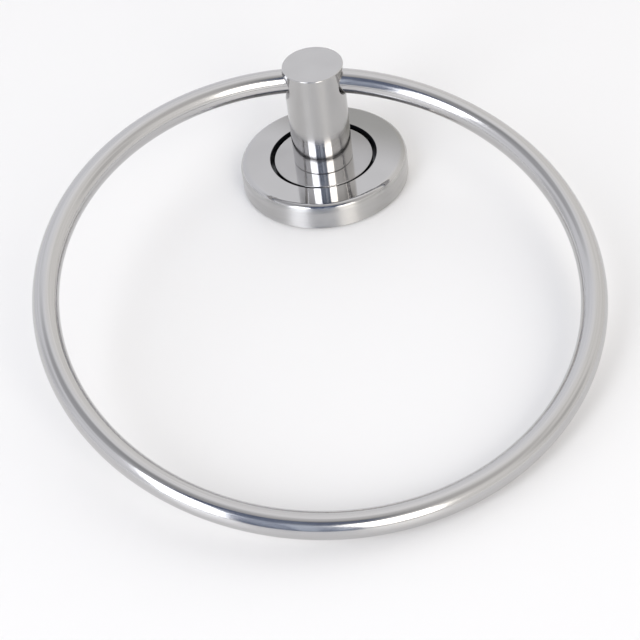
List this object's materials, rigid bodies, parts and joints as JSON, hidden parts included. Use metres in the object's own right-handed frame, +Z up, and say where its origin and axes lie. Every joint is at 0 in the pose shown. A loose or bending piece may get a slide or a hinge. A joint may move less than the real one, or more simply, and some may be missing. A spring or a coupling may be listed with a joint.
{
  "type": "towel ring",
  "caption": "Polished steel towel ring: a closed round-bar loop swinging in the cross hole of a straight post on a round wall rose with a separate cover and a dark gap round the seat disc.",
  "frame": {"origin": "centre of the rose on the wall plane, midway between the two wall screw holes", "axes": "+Z up along the wall, +Y into the wall, +X to the right seen from the room; the post points along -Y and the ring hangs below it"},
  "size_m": [0.171, 0.046, 0.1925],
  "materials": {
    "ring_steel": "polished stainless bar with faint lengthwise polishing marks",
    "post_steel": "mirror polished stainless",
    "disc_steel": "mirror polished stainless",
    "cover_steel": "mirror polished face, satin side wall",
    "plate_zinc": "dull zinc plate",
    "screw_black": "black oxide"
  },
  "bodies": {
    "wall_bracket": {"post": "post_steel", "seat_disc": "disc_steel", "rose_cover": "cover_steel", "fixing_plate": "plate_zinc", "clamp_screw": "screw_black"},
    "ring": {"towel_ring": "ring_steel"}
  },
  "joints": [
    {"name": "ring_swing", "type": "hinge", "parent": "wall_bracket", "child": "ring", "pos_m": [0, -0.0398, 0], "axis": [-1, 0, 0], "range_deg": [0, 203.5]}
  ]
}
